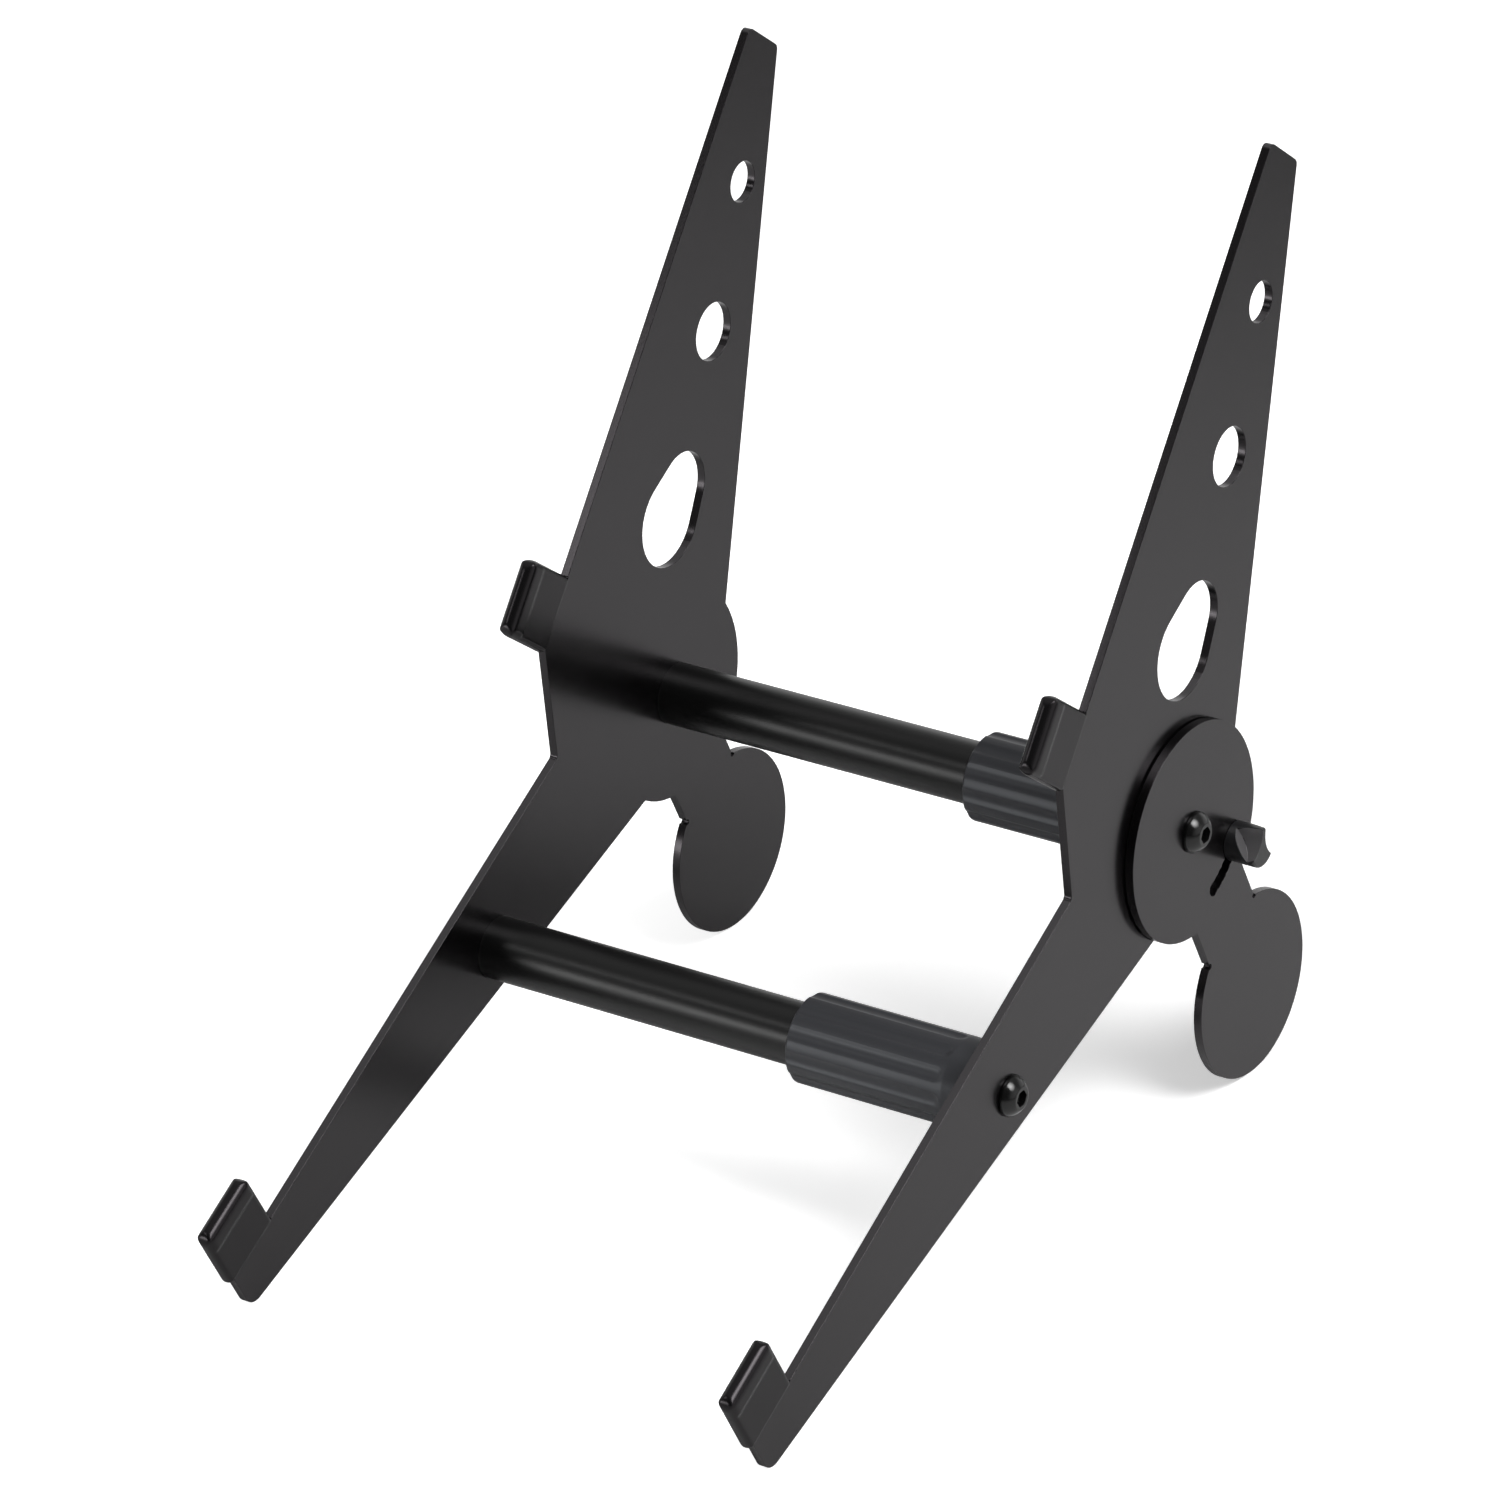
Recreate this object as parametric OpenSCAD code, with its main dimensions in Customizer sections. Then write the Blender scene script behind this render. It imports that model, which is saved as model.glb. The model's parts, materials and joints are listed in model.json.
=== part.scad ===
// Desktop studio stand: two flat side frames on edge, joined by two telescopic cross tubes.
// X runs across the stand, Y to the back, Z up. The origin is on the table, in the middle of the footprint.

/* [Side plates] */
// Clear distance between the inner faces of the side plates
plate_gap = 197; // [185:1:225]
// Thickness of the side plates
plate_t = 3; // [2:0.5:5]
// Radius of the round boss about the pivot, shared by the rear foot's disc
boss_r = 37.5; // [36:0.5:42]
// Slope of the arm's front edge
arm_angle = 51.1; // [47:0.1:56]
// Distance from the pivot forward to the line of the arm's front edge
arm_front = 86.8; // [80:0.1:95]
// Distance of the arm's tip from the pivot, measured along the front edge
arm_tip = 210; // [190:1:240]
// Width of the arm at its tip
arm_tip_w = 19.8; // [14:0.1:26]
// Slope of the arm's rear edge
arm_rear_angle = 75.6; // [74:0.1:77]
// Distance below the pivot's level, along the front edge, where the arm turns into the web
web_drop = 6; // [2:0.5:12]
// Slope of the web's front edge, above the knee
web_angle = 94; // [90:0.1:98]
// Slope of the leg's front edge
leg_angle = 27.3; // [24:0.1:31]
// Distance from the pivot forward to the line of the leg's front edge
leg_front = 37.8; // [34:0.1:41]
// Distance of the leg's end from the pivot, measured along the front edge
leg_end = 272.7; // [255:0.1:290]
// Width of the leg at its end
leg_end_w = 17.1; // [15:0.1:20]
// Slope of the leg's rear edge
leg_rear_angle = 18.1; // [17:0.1:19.5]
// Radius of the leg's lower corner, on which the stand rests
leg_end_r = 6; // [3:0.5:8]
// Radius of the arm's tip corners
tip_r = 2.5; // [1:0.5:5]
// Radius in the knee between web and leg
knee_r = 2; // [1:0.5:6]

/* [Holes in the arm] */
// Distance of the top hole from the pivot, along the front edge
hole_top = 163.7; // [158:0.1:170]
// Depth of the top hole's centre behind the front edge
hole_depth = 25.8; // [22:0.1:28]
// Radius of the top hole
hole_r = 7.1; // [4:0.1:8]
// How much each next hole is larger in radius
hole_r_step = 3; // [1:0.1:4]
// Distance from the top hole to the next, along the front edge
hole_pitch = 49.2; // [44:0.1:52]
// How much the distance to the third hole is longer
hole_pitch_step = 2.9; // [0:0.1:5]
// Angle between the row of holes and the front edge
hole_row_angle = 13.7; // [11:0.1:16]
// Length between the two round ends of the lowest opening
opening_l = 11.1; // [4:0.1:20]
// Turn of the lowest opening against the front edge
opening_turn = 5.7; // [-10:0.1:15]
// Radius of the lower end of the lowest opening
opening_r = 16.4; // [10:0.1:18]

/* [Hooks] */
// Width of each hook tab
tab_w = 22; // [18:0.5:26]
// Reach of each hook tab in front of the edge
tab_reach = 22.3; // [16:0.1:30]
// Radius of the hook tab's corners
tab_r = 2.5; // [1:0.5:4]
// Rubber over each face of a tab
cap_skin = 1; // [0.6:0.1:2]
// Rubber past the sides and the end of a tab
cap_wall = 2.3; // [1.5:0.1:4]
// How far the plate's edge steps back under a cap's side wall
cap_seat = 0.3; // [0.2:0.1:0.6]
// How far the bead at the cap's end stands out of each face
cap_bead = 0.7; // [0.3:0.1:1.5]
// Width of the bead at the cap's end
cap_bead_w = 7.4; // [7:0.1:10]
// Radius of the cap's outer corners
cap_r = 4.5; // [3.5:0.5:6]

/* [Rear feet] */
// Thickness of the rear feet
foot_t = 3; // [2:0.5:5]
// Distance from the pivot to the centre of the round foot
foot_reach = 80.2; // [76:0.1:88]
// Radius of the round foot
foot_r = 32.4; // [28:0.1:36]
// Width of the neck between disc and foot
neck_w = 31.4; // [24:0.1:38]
// Radius of the small reliefs cut where the neck meets the foot
relief_r = 1; // [0.5:0.1:1.5]
// Thickness of the friction disc between side plate and foot
friction_t = 0.5; // [0.5:0.1:1.5]
// How far the friction disc is smaller in radius than the boss
friction_inset = 1; // [0.5:0.5:3]

/* [Notched slot] */
// Radius of the slot's centre line about the pivot
slot_r = 28.5; // [26:0.1:29.5]
// Angle of the knob's stud below the horizontal, seen from the pivot
stud_angle = 31.1; // [28:0.1:33]
// Number of notches
notch_count = 7; // [3:1:7]
// Angle from notch to notch
notch_step = 6; // [5.5:0.1:6.2]
// Radius of each notch
notch_r = 2.6; // [2.6:0.05:3]

/* [Cross tubes] */
// Outer diameter of the inner tubes
tube_d = 21.3; // [19:0.1:24]
// Wall of all the tubes
tube_wall = 1.5; // [1:0.1:2]
// Play between inner and outer tube, all round
tube_play = 0.55; // [0.4:0.05:0.8]
// How far the stand can be pushed narrower from the drawn setting
push_in = 20; // [15:0.5:22]
// Room left behind the inner tubes when the stand is pushed in
push_room = 1.5; // [1:0.5:4]
// Distance of the lower tube from the pivot, along the leg's front edge
low_tube_along = 116.7; // [105:0.1:130]
// Depth of the lower tube's axis behind the leg's front edge
low_tube_depth = 27.5; // [26:0.1:29]
// Length of the threaded plugs in the tube ends
plug_l = 12; // [9:0.5:13]
// Length of the guide plug's rim, past the inner tube's end
guide_rim_l = 5; // [3:0.5:8]
// Length of the guide plug's spigot inside the inner tube
guide_spigot_l = 8; // [5:0.5:12]
// Radius of the hole through the guide plug
guide_hole_r = 4; // [2:0.5:6]

/* [Twist locks] */
// Wall of the lock collar round the outer tube
collar_wall = 2.4; // [2:0.1:4]
// Length of the lock collar
collar_l = 67; // [60:1:76]
// Clear distance between the lock collar and the side plate
collar_space = 6.5; // [3:0.1:10]
// Length of the lip in front of the collet
lip_l = 3.2; // [2.5:0.1:5]
// Length of the clamp collet
collet_l = 10.6; // [8:0.1:13]
// Length of the collet's solid base ring, behind the slits
collet_base_l = 2.6; // [2:0.1:4]
// Width of the collet's slits
slit_w = 1.2; // [0.8:0.1:2]
// Number of slits across the collet, each cutting both sides
slit_count = 2; // [1:1:4]
// Number of finger flutes round the collar
flute_count = 11; // [7:1:12]
// Width of a flute at the collar's surface
flute_w = 4.9; // [4:0.1:5]
// Depth of a flute
flute_depth = 0.8; // [0.7:0.05:1.1]
// Turn of the first flute from the horizontal
flute_turn = 14.4; // [0:0.1:32]
// Length of the smooth band at the collar's plate end
collar_band = 7.6; // [6:0.1:14]
// Distance from the flutes' round ends to the smooth band
flute_rest = 0.4; // [0.2:0.1:2]
// How far the smooth band tapers in radius
collar_taper = 0.7; // [0.2:0.1:1.2]
// Chamfer at the collar's tube end
collar_chamfer = 0.6; // [0.3:0.1:1.5]

/* [Screws and knobs] */
// Thread diameter of the end screws
screw_d = 8; // [6:0.5:9]
// Head diameter of the end screws
screw_head_d = 14; // [13:0.5:16]
// Head height of the end screws
screw_head_h = 4.4; // [4:0.1:5]
// Straight rim below the dome of the head
screw_rim_h = 0.9; // [0.5:0.1:1.2]
// Diameter of the flat on top of the dome
screw_flat_d = 7.8; // [7:0.1:9]
// Width across flats of the hex socket
socket_w = 5; // [4:0.5:5.5]
// Depth of the hex socket
socket_depth = 2.6; // [2:0.1:3]
// How deep the end screws reach into the plugs
screw_grip = 9; // [7:0.5:9]
// Diameter of the knob's stud
stud_d = 4; // [3:0.1:4.1]
// Diameter of the stud's sunk head
stud_head_d = 7; // [6:0.1:9]
// Height of the stud's sunk head
stud_head_h = 1; // [0.6:0.1:1.4]
// How deep the stud reaches into the knob
stud_grip = 3; // [2.4:0.1:3.2]
// Diameter of the knob
knob_d = 13.6; // [12.6:0.1:14.4]
// Length of the knob
knob_l = 11; // [10:0.1:12.5]
// Chamfer at the knob's outer rim
knob_chamfer = 0.5; // [0.3:0.1:1]
// Direction of the knob's wing from the horizontal
knob_turn = 80; // [0:1:180]
// Angle between the wing and the scoop on each side of it
scoop_turn = 80; // [76:1:88]
// Distance from the knob's axis to the scoops
scoop_space = 1.6; // [1.4:0.1:2.4]
// Radius of the scoops
scoop_r = 8; // [7:0.5:10]
// Height of a scoop's floor above the knob's base, in the scoop's middle
scoop_h = 5.2; // [4.8:0.1:6]
// Slope of a scoop's floor, up from the wing
scoop_slope = 30; // [24:1:34]
// Diameter of the threaded bush in the knob
insert_d = 5.4; // [5:0.1:5.6]
// Length of the threaded bush in the knob
insert_l = 3.4; // [2.8:0.1:3.6]

/* [Clearances] */
// Running gap between faces that turn against each other
face_gap = 0.05; // [0.03:0.01:0.1]
// Running clearance all round a pin in its bore
bore_gap = 0.06; // [0.03:0.01:0.1]
// Gap all round between pieces that are pressed or screwed together
fit_gap = 0.02; // [0.01:0.01:0.05]
// Clearance all round a screw in a plain hole
hole_gap = 0.2; // [0.1:0.05:0.5]
// Gap between the collar's cone and the collet
cone_gap = 0.15; // [0.1:0.05:0.3]
// Clearance between the collar's lip and the inner tube, all round
lip_gap = 0.3; // [0.2:0.05:0.5]

/* [Hidden] */
$fn = 96;
// How far a cutter runs past the face that it cuts
past = 1;
// How far a round laps over the edges that it meets, so that no sliver is left there
lap = 0.01;

coat = "#2b292c";
tube_black = "#1b1b1d";
plastic_black = "#232427";
rubber_black = "#151515";
screw_black = "#0f0f10";
bare_steel = "#8d8f92";
bare_brass = "#b5903c";
nylon = "#d8d5cc";

// Points in the side view, with the pivot at zero: first number to the back, second up
function unit(v) = v / norm(v);
function at_slope(angle, along, across) =
  [along * cos(angle) - across * sin(angle), along * sin(angle) + across * cos(angle)];
function arm_point(along, ahead) = at_slope(arm_angle, along, arm_front + ahead);
function leg_point(along, ahead) = at_slope(leg_angle, -along, leg_front + ahead);
function foot_of_pivot(p, angle) = p - (p * at_slope(angle, 1, 0)) * at_slope(angle, 1, 0);
function cross2(a, b) = a[0] * b[1] - a[1] * b[0];
function meet(p, p_angle, q, q_angle) =
  p + at_slope(p_angle, 1, 0) * cross2(q - p, at_slope(q_angle, 1, 0))
    / cross2(at_slope(p_angle, 1, 0), at_slope(q_angle, 1, 0));
function half_corner(p, a, b) = acos(unit(a - p) * unit(b - p)) / 2;
function corner_centre(p, a, b, r) =
  p + unit(unit(a - p) + unit(b - p)) * r / sin(half_corner(p, a, b));

tip_front = arm_point(arm_tip, 0);
tip_rear = arm_point(arm_tip, -arm_tip_w);
web_top = arm_point(-web_drop, 0);
knee = meet(web_top, web_angle, leg_point(0, 0), leg_angle);
end_rear = leg_point(leg_end, -leg_end_w);
arm_root = foot_of_pivot(tip_rear, arm_rear_angle);
leg_root = foot_of_pivot(end_rear, leg_rear_angle);

// Each hook's corners: the step under the cap's side wall first, then the tab
seat_l = tab_w + cap_wall + face_gap;
arm_hook = [
  arm_point(seat_l - web_drop, 0), arm_point(seat_l - web_drop, -cap_seat),
  arm_point(tab_w - web_drop, -cap_seat), arm_point(tab_w - web_drop, tab_reach), arm_point(-web_drop, tab_reach)
];
leg_hook = [
  leg_point(leg_end - seat_l, 0), leg_point(leg_end - seat_l, -cap_seat),
  leg_point(leg_end - tab_w, -cap_seat), leg_point(leg_end - tab_w, tab_reach), leg_point(leg_end, tab_reach)
];

// The stand rests on the leg's round corner and on the round foot
end_centre = corner_centre(end_rear, leg_hook[4], leg_root, leg_end_r);
pivot_h = leg_end_r - end_centre[1];
foot_drop = asin((pivot_h - foot_r) / foot_reach);

// The footprint's middle lies between the lower cap's corner and the arm's tip
cap_corner = leg_point(leg_end + cap_wall - cap_r, tab_reach + cap_wall - cap_r);
front_reach = cap_r - cap_corner[0];
rear_reach = corner_centre(tip_rear, tip_front, arm_root, tip_r)[0] + tip_r;
pivot_y = (front_reach - rear_reach) / 2;

low_axis = leg_point(low_tube_along, -low_tube_depth);
up_axis = [0, 0];

// Stations along X
plate_in = plate_gap / 2;
plate_out = plate_in + plate_t;
foot_in = plate_out + friction_t + face_gap;
foot_out = foot_in + foot_t;
head_in = foot_out + face_gap;
inner_end = plate_in - plug_l - push_in - push_room;
collar_x = plate_in - collar_space - collar_l;
collet_x = collar_x + lip_l + cone_gap;
outer_mouth = collet_x + collet_l + fit_gap;
outer_tube_l = plate_in - outer_mouth;

// Radii about a tube's axis
inner_r = tube_d / 2;
inner_bore_r = inner_r - tube_wall;
outer_bore_r = inner_r + tube_play;
outer_r = outer_bore_r + tube_wall;
collar_bore_r = outer_r + bore_gap;
collar_r = collar_bore_r + collar_wall;
collet_r = outer_r - fit_gap;
collet_front_r = inner_r + (collet_r - inner_r) / 2;
screw_r = screw_d / 2;
stud_r = stud_d / 2;

// Stretches along X are drawn along the local Z of this frame, with its zero at the pivot
module side_frame() translate([0, pivot_y, pivot_h]) rotate([90, 0, 90]) children();
module left_half() mirror([1, 0, 0]) children();
module arm_frame() rotate(arm_angle) translate([0, arm_front]) children();
module leg_frame() rotate(leg_angle) translate([0, leg_front]) children();
module at_axis(axis, x) side_frame() translate([axis[0], axis[1], x]) children();

// Kite over a corner, less the corner's round: cut away it rounds an outer corner, added it fills an inner one
module corner_kite(p, a, b, r) {
  c = corner_centre(p, a, b, r);
  run = r / tan(half_corner(p, a, b));
  reach = 1.2;
  function out(q) = c + reach * (q - c);
  difference() {
    polygon([c, out(p + unit(b - p) * run), out(p), out(p + unit(a - p) * run)]);
    translate(c) circle(r + lap);
  }
}

// Two circles and the flat sides that touch them both
module tapered_slot(a, b, a_r, b_r) {
  along = unit(b - a);
  across = [-along[1], along[0]];
  lean = asin((a_r - b_r) / norm(b - a));
  left = along * sin(lean) + across * cos(lean);
  right = along * sin(lean) - across * cos(lean);
  translate(a) circle(a_r);
  translate(b) circle(b_r);
  polygon([
    a + right * (a_r - lap), b + right * (b_r - lap), b + left * (b_r - lap), a + left * (a_r - lap)
  ]);
}

module arm_holes() {
  function run(k) = k * hole_pitch + k * (k - 1) / 2 * hole_pitch_step;
  function hole(k) = arm_point(hole_top - run(k), -hole_depth - run(k) * tan(hole_row_angle));
  for (k = [0:1]) translate(hole(k)) circle(hole_r + k * hole_r_step);
  tapered_slot(
    hole(2), hole(2) - at_slope(arm_angle - opening_turn, opening_l, 0), hole_r + 2 * hole_r_step, opening_r);
}

module plate_outline() {
  difference() {
    union() {
      polygon(concat(
        [web_top, knee], leg_hook, [end_rear, leg_root, up_axis, arm_root, tip_rear, tip_front], arm_hook));
      circle(boss_r);
      corner_kite(knee, web_top, leg_hook[0], knee_r);
    }
    corner_kite(tip_front, arm_hook[0], tip_rear, tip_r);
    corner_kite(tip_rear, tip_front, arm_root, tip_r);
    corner_kite(end_rear, leg_hook[4], leg_root, leg_end_r);
    corner_kite(arm_hook[3], arm_hook[2], arm_hook[4], tab_r);
    corner_kite(arm_hook[4], arm_hook[3], web_top, tab_r);
    corner_kite(leg_hook[3], leg_hook[2], leg_hook[4], tab_r);
    corner_kite(leg_hook[4], leg_hook[3], end_rear, tab_r);
    arm_holes();
    circle(screw_r + hole_gap);
    translate(low_axis) circle(screw_r + hole_gap);
    translate(at_slope(-stud_angle, slot_r, 0)) circle(stud_r + fit_gap);
  }
}

module side_plate() {
  color(coat) difference() {
    side_frame() translate([0, 0, plate_in]) linear_extrude(plate_t) plate_outline();
    at_axis(at_slope(-stud_angle, slot_r, 0), plate_in - past)
      cylinder(h = stud_head_h + past + fit_gap, r = stud_head_d / 2 + fit_gap);
  }
}

// The foot is drawn along its own neck, then dropped to the table
module foot_outline() {
  junction = foot_reach - sqrt(foot_r * foot_r - neck_w * neck_w / 4);
  difference() {
    union() {
      circle(boss_r);
      translate([0, -neck_w / 2]) square([foot_reach, neck_w]);
      translate([foot_reach, 0]) circle(foot_r);
    }
    for (side = [-1, 1]) translate([junction, side * neck_w / 2]) circle(relief_r);
    circle(screw_r + bore_gap);
    for (k = [0:notch_count - 1])
      rotate(foot_drop - stud_angle - k * notch_step) translate([slot_r, 0]) circle(notch_r);
  }
}

module rear_foot() {
  color(coat) side_frame() translate([0, 0, foot_in]) rotate(-foot_drop)
    linear_extrude(foot_t) foot_outline();
}

module friction_disc() {
  color(nylon) side_frame() translate([0, 0, plate_out]) linear_extrude(friction_t) difference() {
    circle(boss_r - friction_inset);
    circle(screw_r + hole_gap);
    rotate(-stud_angle) translate([slot_r, 0]) circle(stud_r + hole_gap);
  }
}

// Button head screw with its head standing on local z = 0 and its shank reaching below
module end_screw(shank_l) {
  dome_c = (pow(screw_flat_d / 2, 2) + pow(screw_head_h, 2) - pow(screw_head_d / 2, 2)
    - pow(screw_rim_h, 2)) / (2 * (screw_head_h - screw_rim_h));
  dome_r = norm([screw_head_d / 2, screw_rim_h - dome_c]);
  color(screw_black) difference() {
    union() {
      rotate_extrude() intersection() {
        square([screw_head_d / 2, screw_head_h]);
        translate([0, dome_c]) circle(dome_r);
      }
      translate([0, 0, -shank_l]) cylinder(h = shank_l + past / 2, r = screw_r);
    }
    translate([0, 0, screw_head_h - socket_depth])
      cylinder(h = socket_depth + past, r = socket_w / 2 / cos(30), $fn = 6);
  }
}

module pivot_screw() at_axis(up_axis, head_in) end_screw(head_in - plate_in + screw_grip);
module lower_screw() at_axis(low_axis, plate_out) end_screw(plate_t + screw_grip);

module knob_stud() {
  color(bare_steel) at_axis(at_slope(-stud_angle, slot_r, 0), plate_in) {
    cylinder(h = stud_head_h, r = stud_head_d / 2);
    cylinder(h = head_in - plate_in + stud_grip, r = stud_r);
  }
}

module knob_frame() at_axis(at_slope(-stud_angle, slot_r, 0), head_in) rotate(knob_turn) children();

module knob_insert() {
  color(bare_brass) knob_frame() difference() {
    cylinder(h = insert_l, r = insert_d / 2);
    translate([0, 0, -past]) cylinder(h = insert_l + 2 * past, r = stud_r + bore_gap);
  }
}

// Round knob: two oblique scoops leave a narrow wing that widens to the full round opposite it
module wing_knob() {
  color(plastic_black) knob_frame() difference() {
    rotate_extrude() polygon([
      [0, 0], [knob_d / 2, 0], [knob_d / 2, knob_l - knob_chamfer], [knob_d / 2 - knob_chamfer, knob_l], [0, knob_l]
    ]);
    for (side = [0, 1]) mirror([0, side, 0]) rotate(scoop_turn)
      translate([scoop_space + scoop_r, 0, scoop_h]) rotate([scoop_slope, 0, 0])
        cylinder(h = 2 * knob_l, r = scoop_r);
    translate([0, 0, -past]) cylinder(h = insert_l + past + fit_gap, r = insert_d / 2 + fit_gap);
  }
}

module tube(l, r, bore) {
  difference() {
    cylinder(h = l, r = r);
    translate([0, 0, -past]) cylinder(h = l + 2 * past, r = bore);
  }
}

module inner_tube(axis) {
  color(tube_black) at_axis(axis, -plate_in)
    tube(inner_end - guide_rim_l + plate_in, inner_r, inner_bore_r);
}

module outer_tube(axis) color(tube_black) at_axis(axis, outer_mouth) tube(outer_tube_l, outer_r, outer_bore_r);

module guide_plug(axis) {
  color(nylon) at_axis(axis, inner_end - guide_rim_l) difference() {
    union() {
      cylinder(h = guide_rim_l, r = outer_bore_r - bore_gap);
      translate([0, 0, -guide_spigot_l]) cylinder(h = guide_spigot_l + past, r = inner_bore_r - fit_gap);
    }
    translate([0, 0, -guide_spigot_l - past])
      cylinder(h = guide_spigot_l + guide_rim_l + 2 * past, r = guide_hole_r);
  }
}

// Threaded plug, flush with the tube's end at the plate
module end_plug(axis, bore, side) {
  color(bare_steel) at_axis(axis, side > 0 ? plate_in - plug_l : -plate_in)
    tube(plug_l, bore - fit_gap, screw_r + fit_gap);
}

// Split ring: the collar's cone presses its slit front end onto the inner tube
module clamp_collet(axis) {
  grip_r = inner_r + bore_gap;
  cone_l = collet_l - collet_base_l;
  color(nylon) at_axis(axis, collet_x) difference() {
    rotate_extrude() polygon([
      [grip_r, 0], [collet_front_r, 0], [collet_r, cone_l], [collet_r, collet_l], [grip_r, collet_l]
    ]);
    for (k = [0:slit_count - 1]) rotate(k * 180 / slit_count)
      translate([-2 * collet_r, -slit_w / 2, -past]) cube([4 * collet_r, slit_w, cone_l + past]);
  }
}

// Round cutter through the flute's two edges and its floor, with a ball end towards the smooth band
module flute() {
  half = flute_w / 2;
  sag = flute_depth - collar_r + sqrt(collar_r * collar_r - half * half);
  cutter_r = (half * half + sag * sag) / (2 * sag);
  flute_l = collar_l - collar_band - flute_rest - sqrt(flute_depth * (2 * cutter_r - flute_depth));
  translate([collar_r - flute_depth + cutter_r, 0, -past]) cylinder(h = flute_l + past, r = cutter_r);
  translate([collar_r - flute_depth + cutter_r, 0, flute_l]) sphere(cutter_r);
}

module lock_collar(axis) {
  lip_r = inner_r + lip_gap;
  cone_l = collet_l - collet_base_l;
  color(plastic_black) at_axis(axis, collar_x) difference() {
    rotate_extrude() polygon([
      [lip_r, 0], [collar_r - collar_chamfer, 0], [collar_r, collar_chamfer],
      [collar_r, collar_l - collar_band], [collar_r - collar_taper, collar_l],
      [collar_bore_r, collar_l], [collar_bore_r, lip_l + cone_gap + cone_l],
      [collet_front_r + cone_gap, lip_l], [lip_r, lip_l]
    ]);
    for (k = [0:flute_count - 1]) rotate(flute_turn + k * 360 / flute_count) flute();
  }
}

// Rubber cap drawn on a tab whose lower corner is at local zero, with local z through the plate
module hook_cap() {
  low = -cap_wall;
  high = tab_w + cap_wall;
  end = tab_reach + cap_wall;
  half = plate_t / 2 + cap_skin;
  bead = half + cap_bead;
  root = face_gap;
  difference() {
    intersection() {
      translate([0, 0, -bead]) linear_extrude(2 * bead) difference() {
        translate([low, root]) square([high - low, end - root]);
        corner_kite([low, end], [low, 0], [high, end], cap_r);
        corner_kite([high, end], [high, 0], [low, end], cap_r);
      }
      translate([low - past, 0, 0]) rotate([90, 0, 90]) linear_extrude(high - low + 2 * past) union() {
        translate([root, -half]) square([end - cap_bead_w, 2 * half]);
        translate([end - cap_bead_w, -bead]) square([cap_bead_w - bead, 2 * bead]);
        translate([end - bead, 0]) circle(bead);
      }
      translate([0, end + past, 0]) rotate([90, 0, 0]) linear_extrude(end + 2 * past) union() {
        translate([low + bead, -bead]) square([high - low - 2 * bead, 2 * bead]);
        translate([low + bead, 0]) circle(bead);
        translate([high - bead, 0]) circle(bead);
      }
    }
    translate([-fit_gap, -past, -plate_t / 2 - fit_gap])
      cube([tab_w + 2 * fit_gap, tab_reach + past + fit_gap, plate_t + 2 * fit_gap]);
  }
}

module upper_cap() {
  color(rubber_black) side_frame() translate([0, 0, plate_in + plate_t / 2])
    arm_frame() translate([-web_drop, 0, 0]) hook_cap();
}

module lower_cap() {
  color(rubber_black) side_frame() translate([0, 0, plate_in + plate_t / 2])
    leg_frame() translate([-leg_end, 0, 0]) hook_cap();
}

left_half() side_plate();  // left_side_plate
side_plate();  // right_side_plate
left_half() rear_foot();  // left_rear_foot
rear_foot();  // right_rear_foot
left_half() friction_disc();  // left_friction_disc
friction_disc();  // right_friction_disc
left_half() pivot_screw();  // left_pivot_screw
pivot_screw();  // right_pivot_screw
left_half() lower_screw();  // left_lower_screw
lower_screw();  // right_lower_screw
left_half() knob_stud();  // left_knob_stud
knob_stud();  // right_knob_stud
left_half() wing_knob();  // left_wing_knob
wing_knob();  // right_wing_knob
left_half() knob_insert();  // left_knob_insert
knob_insert();  // right_knob_insert
inner_tube(up_axis);  // upper_inner_tube
inner_tube(low_axis);  // lower_inner_tube
outer_tube(up_axis);  // upper_outer_tube
outer_tube(low_axis);  // lower_outer_tube
lock_collar(up_axis);  // upper_lock_collar
lock_collar(low_axis);  // lower_lock_collar
clamp_collet(up_axis);  // upper_clamp_collet
clamp_collet(low_axis);  // lower_clamp_collet
guide_plug(up_axis);  // upper_guide_plug
guide_plug(low_axis);  // lower_guide_plug
end_plug(up_axis, inner_bore_r, -1);  // upper_left_plug
end_plug(low_axis, inner_bore_r, -1);  // lower_left_plug
end_plug(up_axis, outer_bore_r, 1);  // upper_right_plug
end_plug(low_axis, outer_bore_r, 1);  // lower_right_plug
left_half() upper_cap();  // left_upper_cap
left_half() lower_cap();  // left_lower_cap
upper_cap();  // right_upper_cap
lower_cap();  // right_lower_cap
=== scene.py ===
# %% [markdown]
# # A desktop studio stand in black steel
# Two flat steel side frames stand on edge and carry a laptop or a small mixer on their front edges.
# Two telescopic tubes join them, and a round rear foot on each side tilts the whole stand.
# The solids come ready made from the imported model, so this script only dresses them: softer edges, moulded
# forms and finishes. Everything is in metres and nothing is moved from its place.

# %% Load the fixed frame
import json
import math

import bmesh
import bpy
from mathutils import Matrix, Vector


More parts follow.
